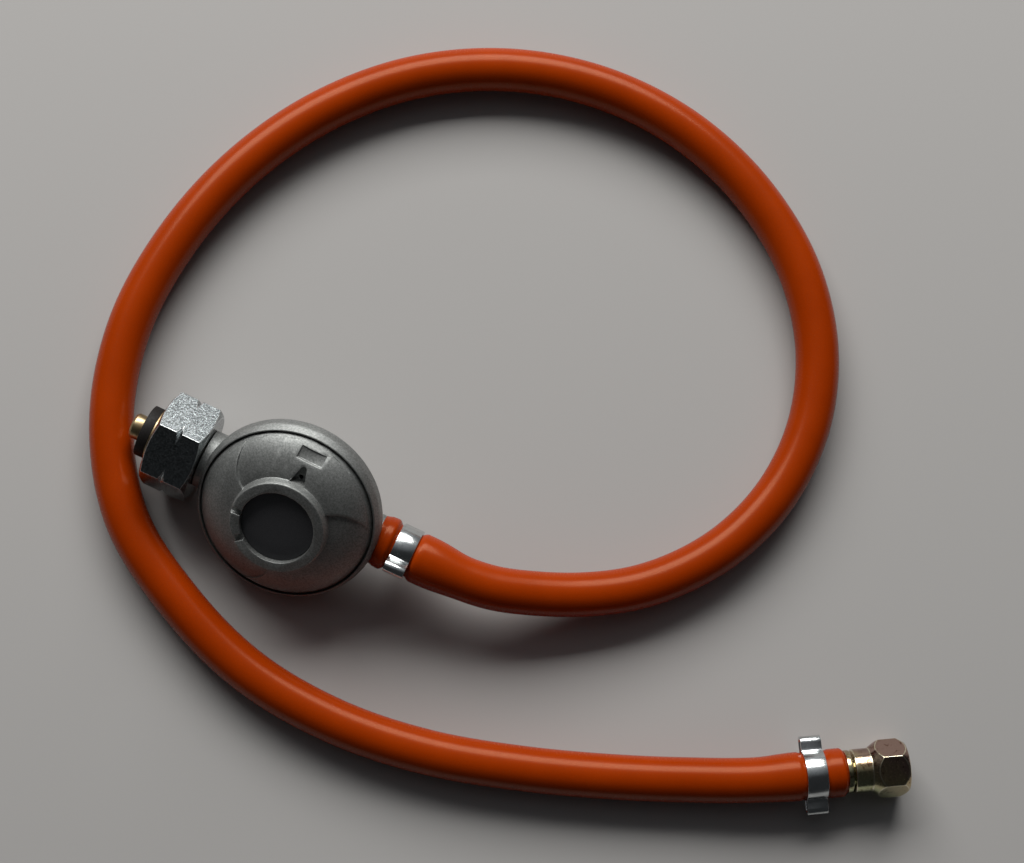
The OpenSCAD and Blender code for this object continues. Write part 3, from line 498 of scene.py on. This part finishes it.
def make_orange_rubber():
    """Extruded rubber hose: warm orange, satin, with specks of dust and a slow change of tone."""
    mat, tree, shader = new_finish("orange_rubber", Metallic=0.0, Specular_IOR_Level=0.25)
    shader.inputs["Specular Tint"].default_value = (1.0, 0.62, 0.38, 1)
    at = coordinates(tree)
    tone = noise(tree, at, 35, 3)
    grain = noise(tree, at, 1600, 4, 0.6)
    specks = noise(tree, at, 2600, 2, 0.5)
    colour = ramp(tree, tone, [(0.3, (0.315, 0.031, 0.0004)), (0.7, (0.365, 0.038, 0.0008))])
    shade = ramp(tree, grain, [(0.35, 0.9), (0.65, 1.0)])
    dust = ramp(tree, specks, [(0.74, 0.0), (0.8, 0.5)])
    clean = blended(tree, "MULTIPLY", 1.0, colour, shade)
    tree.links.new(blended(tree, "MIX", dust, clean, (0.42, 0.16, 0.08, 1)), shader.inputs["Base Color"])
    tree.links.new(ramp(tree, grain, [(0.3, 0.3), (0.7, 0.2)]), shader.inputs["Roughness"])
    bump(tree, shader, grain, 0.12, 0.04 * MM)
    return mat


def make_spring_wire():
    mat, tree, shader = new_finish("spring_wire", Metallic=1.0)
    wear = noise(tree, coordinates(tree), 900, 4)
    tree.links.new(ramp(tree, wear, [(0.3, (0.30, 0.31, 0.32)), (0.7, (0.44, 0.45, 0.46))]),
                   shader.inputs["Base Color"])
    tree.links.new(ramp(tree, wear, [(0.3, 0.42), (0.7, 0.3)]), shader.inputs["Roughness"])
    return mat


cast_zinc = make_cast_zinc()
rubbed_and_highlit_zinc = make_rubbed_and_highlit_zinc()
spangled_zinc = make_spangled_zinc()
bright_zinc = make_bright_zinc()
worn_and_highlit_zinc = make_worn_and_highlit_zinc()
turned_brass = make_turned_brass()
yellow_chromate = make_yellow_chromate()
worn_and_highlit_chromate = make_worn_and_highlit_chromate()
dark_cap = make_dark_cap()
black_rubber = make_black_rubber()
spring_wire = make_spring_wire()


def paint(piece, *finishes):
    piece.data.materials.clear()
    for finish in finishes:
        piece.data.materials.append(finish)


paint(hose, make_orange_rubber())
for finish, names in (
    (spangled_zinc, ["diaphragm_plate", "lever", "pin_screws"]),
    (turned_brass, ["adjuster", "centre_stem", "valve_holder"]),
    (black_rubber, ["valve_pad"]),
    (spring_wire, ["stem_clip", "lever_pin", "inlet_filter"]),
):
    for name in names:
        paint(frame["nodes"][name], finish)


# ------------------------------------------------------------------ pieces with softened edges

def softened(node, name, body, edge, finish, worn=None, angle=25, reshape=None, facets=False):
    """A copy of a CAD node in whole faces, its edges broken with a small radius that may have a worn finish,
    lighter so that it also paints a highlight along the edge.

    A piece with facets keeps them flat up to the broken edge."""
    deselect()
    solid = frame["nodes"][node]
    solid.select_set(True)
    bpy.context.view_layer.objects.active = solid
    bpy.ops.object.duplicate()
    piece = bpy.context.object
    piece.name = name
    del piece["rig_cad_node"]
    bpy.ops.object.mode_set(mode="EDIT")
    bpy.ops.mesh.select_all(action="SELECT")
    bpy.ops.mesh.remove_doubles(threshold=SAME_PLACE)
    bpy.ops.mesh.dissolve_limited(angle_limit=SAME_FACE)
    bpy.ops.object.mode_set(mode="OBJECT")
    if reshape:
        reshape(piece)
    paint(piece, finish, worn or finish)
    broken = piece.modifiers.new("broken_edge", "BEVEL")
    broken.width = edge * MM
    broken.segments = 2
    broken.limit_method = "ANGLE"
    broken.angle_limit = radians(angle)
    broken.use_clamp_overlap = False
    # The broken edges take the second finish: wear, and a lighter colour that paints a highlight along them
    broken.material = 1
    bpy.ops.object.modifier_apply(modifier="broken_edge")
    bpy.ops.object.shade_smooth_by_angle(angle=MACHINED)
    if facets:
        piece.modifiers.new("flat_facets", "WEIGHTED_NORMAL").keep_sharp = True
        bpy.ops.object.modifier_apply(modifier="flat_facets")
    deselect()
    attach(piece, body)
    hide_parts(node)
    return piece


# The far nut's thread: radius at its top and its foot, pitch, start from the hose's end, and turns
THREAD_TOP, THREAD_FOOT, THREAD_PITCH = 5.72, 6.55, 1.337
THREAD_START, THREAD_TURNS = 13.9, 4.5
# Half of the ridge's foot in pitches, how deep it is sunk in the wall, and its steps in a turn
RIDGE_HALF, RIDGE_SINK, RIDGE_STEPS = 0.45, 0.05, 216
# Radius of the undercut behind the thread, how much wider it is than the foot, and where the bore begins
UNDERCUT_R, UNDERCUT_MORE, BORE_START = 6.02, 0.15, 8


def hundredths(radius):
    return round(radius * 100)


def widen_bore(nut):
    """Moves the wall of the nut's bore out to the foot of the thread, and the undercut behind it further."""
    into_far = FAR.inverted()
    wider = {hundredths(THREAD_TOP): THREAD_FOOT, hundredths(UNDERCUT_R): THREAD_FOOT + UNDERCUT_MORE}
    for vertex in nut.data.vertices:
        place = into_far @ vertex.co / MM
        radius = Vector((place.y, place.z)).length
        foot = wider.get(hundredths(radius))
        if foot and place.x > BORE_START:
            vertex.co = FAR @ (Vector((place.x, place.y * foot / radius, place.z * foot / radius)) * MM)


def add_thread():
    """The left-hand ridge inside the far nut: a triangle carried round the axis by a screw."""
    deselect()
    bpy.ops.mesh.primitive_circle_add(vertices=3, radius=MM)
    ridge = bpy.context.object
    ridge.name = "outlet_nut_thread"
    foot = THREAD_FOOT + RIDGE_SINK
    corners = [(foot, -RIDGE_HALF), (THREAD_TOP, 0.0), (foot, RIDGE_HALF)]
    for vertex, (radius, along) in zip(ridge.data.vertices, corners):
        vertex.co = (radius * MM, 0, (THREAD_START + along * THREAD_PITCH) * MM)
    turns = ridge.modifiers.new("turns", "SCREW")
    turns.axis = "Z"
    turns.angle = -2 * pi * THREAD_TURNS
    turns.screw_offset = THREAD_PITCH * THREAD_TURNS * MM
    turns.steps = turns.render_steps = RIDGE_STEPS
    bpy.ops.object.modifier_apply(modifier="turns")
    bpy.ops.object.mode_set(mode="EDIT")
    bpy.ops.mesh.select_all(action="SELECT")
    bpy.ops.mesh.fill_holes(sides=3)
    bpy.ops.mesh.select_all(action="SELECT")
    bpy.ops.mesh.normals_make_consistent(inside=False)
    bpy.ops.object.mode_set(mode="OBJECT")
    ridge.matrix_world = FAR @ Matrix.Rotation(pi / 2, 4, "Y")
    bpy.ops.object.transform_apply(location=True, rotation=True, scale=True)
    deselect()
    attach(ridge, "outlet_nut")
    paint(ridge, yellow_chromate)
    return ridge


# ------------------------------------------------------------------ inner pieces, copied loose and cut

def loose_copy(node, name, finish, cut_at=None, keep_upper=False):
    """A copy of a CAD node on no body yet.

    Where cut_at is given, the copy is cut there across the dome's axis, and closed."""
    mesh = bmesh.new()
    mesh.from_mesh(frame["nodes"][node].data)
    bmesh.ops.remove_doubles(mesh, verts=mesh.verts, dist=SAME_PLACE)
    if cut_at:
        cut = bmesh.ops.bisect_plane(
            mesh, geom=[*mesh.verts, *mesh.edges, *mesh.faces], plane_co=cut_at, plane_no=dome_axis,
            clear_inner=keep_upper, clear_outer=not keep_upper,
        )
        rim = [part for part in cut["geom_cut"] if isinstance(part, bmesh.types.BMEdge)]
        bmesh.ops.holes_fill(mesh, edges=rim)
        bmesh.ops.recalc_face_normals(mesh, faces=mesh.faces)
    data = bpy.data.meshes.new(name)
    mesh.to_mesh(data)
    mesh.free()
    piece = bpy.data.objects.new(name, data)
    bpy.context.collection.objects.link(piece)
    deselect()
    piece.select_set(True)
    bpy.context.view_layer.objects.active = piece
    bpy.ops.object.shade_smooth_by_angle(angle=ROUND)
    deselect()
    paint(piece, finish)
    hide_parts(node)
    return piece


def span_along_dome(node):
    """Lowest and highest height of a CAD node along the dome's axis."""
    heights = [dome_axis.dot(vertex.co) for vertex in frame["nodes"][node].data.vertices]
    return min(heights), max(heights)


def on_dome_axis(height):
    """The point of the dome's axis at a height that span_along_dome gives."""
    return body_centre + dome_axis * (height - dome_axis.dot(body_centre))


def add_diaphragm():
    """The diaphragm: a copy of the CAD node on no body, its place baked into its mesh."""
    piece = loose_copy("diaphragm", "diaphragm_rubber", black_rubber)
    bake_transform(piece)


def add_spring():
    """The main spring, cut at its middle across the dome's axis: the lower half rides on the root body, the
    upper half is on no body.
    """
    low, high = span_along_dome("main_spring")
    half = (high - low) / 2
    halfway = on_dome_axis(low + half)
    lower = loose_copy("main_spring", "main_spring_lower", spring_wire, halfway, False)
    upper = loose_copy("main_spring", "main_spring_upper", spring_wire, halfway, True)
    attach(lower, "root")
    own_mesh(lower)
    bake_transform(upper)


# ------------------------------------------------------------------ the pieces, those on the hose last

softened("inlet_nut", "inlet_nut_plated", "inlet_nut", 0.13, spangled_zinc, worn_and_highlit_zinc, facets=True)
softened("lower_body", "bowl_casting", "root", 0.18, cast_zinc, rubbed_and_highlit_zinc, angle=30, facets=True)
softened("cover", "cover_casting", "root", 0.1, cast_zinc, rubbed_and_highlit_zinc, angle=50)
softened("label_cap", "plain_cap", "root", 0.12, dark_cap)
softened("inlet_nipple", "inlet_nipple_turned", "root", 0.1, turned_brass)
softened("inlet_seal", "inlet_washer", "root", 0.2, black_rubber)
add_diaphragm()
add_spring()

on_hose = [
    softened("regulator_clamp", "regulator_clamp_band", "root", 0.1, bright_zinc, worn_and_highlit_zinc),
    softened("far_clamp", "far_clamp_band", "root", 0.1, bright_zinc, worn_and_highlit_zinc),
    softened("hose_tail", "hose_tail_turned", "root", 0.1, yellow_chromate, worn_and_highlit_chromate),
    softened("outlet_nut", "outlet_nut_plated", "outlet_nut", 0.18, yellow_chromate, worn_and_highlit_chromate,
             reshape=widen_bore, facets=True),
    add_thread(),
]


# ------------------------------------------------------------------ floor and light

FLOOR_SIZE, FLOOR_MIDDLE = 6, (0.05, 0.05, 0)
WINDOW_AT, WINDOW_AIM = (-0.69, 1.24, 1.05), (0.07, 0.06, 0)
WINDOW_SIZE, WINDOW_POWER = (1.9, 0.95), 45
# The room's light away from the window and towards it
ROOM_DIM, ROOM_BRIGHT = 0.022, 0.3


def add_floor():
    bpy.ops.mesh.primitive_plane_add(size=FLOOR_SIZE, location=FLOOR_MIDDLE)
    floor = bpy.context.object
    floor.name = "floor"
    mat, tree, shader = new_finish("pale_floor", Roughness=0.9)
    shader.inputs["Base Color"].default_value = (0.425, 0.415, 0.405, 1)
    paint(floor, mat)
    deselect()


def add_window():
    """A window on the far left."""
    bpy.ops.object.light_add(type="AREA", location=WINDOW_AT)
    window = bpy.context.object
    window.name = "window"
    window.rotation_euler = (Vector(WINDOW_AIM) - Vector(WINDOW_AT)).to_track_quat("-Z", "Y").to_euler()
    window.data.shape = "RECTANGLE"
    window.data.size, window.data.size_y = WINDOW_SIZE
    window.data.energy = WINDOW_POWER
    window.data.color = (1.0, 0.99, 0.97)


def add_room():
    """A room that is dim except towards the window."""
    world = bpy.data.worlds.new("room")
    world.use_nodes = True
    tree = world.node_tree
    background = tree.nodes["Background"]
    background.inputs["Color"].default_value = (0.92, 0.95, 1.0, 1)
    way = tree.nodes.new("ShaderNodeTexCoord")
    toward = tree.nodes.new("ShaderNodeVectorMath")
    toward.operation = "DOT_PRODUCT"
    toward.inputs[1].default_value = Vector(WINDOW_AT).normalized()
    level = tree.nodes.new("ShaderNodeMapRange")
    levels = (("From Min", 0.5), ("From Max", 1.0), ("To Min", ROOM_DIM), ("To Max", ROOM_BRIGHT))
    for socket, value in levels:
        level.inputs[socket].default_value = value
    tree.links.new(way.outputs["Generated"], toward.inputs[0])
    tree.links.new(toward.outputs["Value"], level.inputs["Value"])
    tree.links.new(level.outputs["Result"], background.inputs["Strength"])
    bpy.context.scene.world = world


add_floor()
add_window()
add_room()
bpy.context.scene.view_settings.view_transform = "Standard"
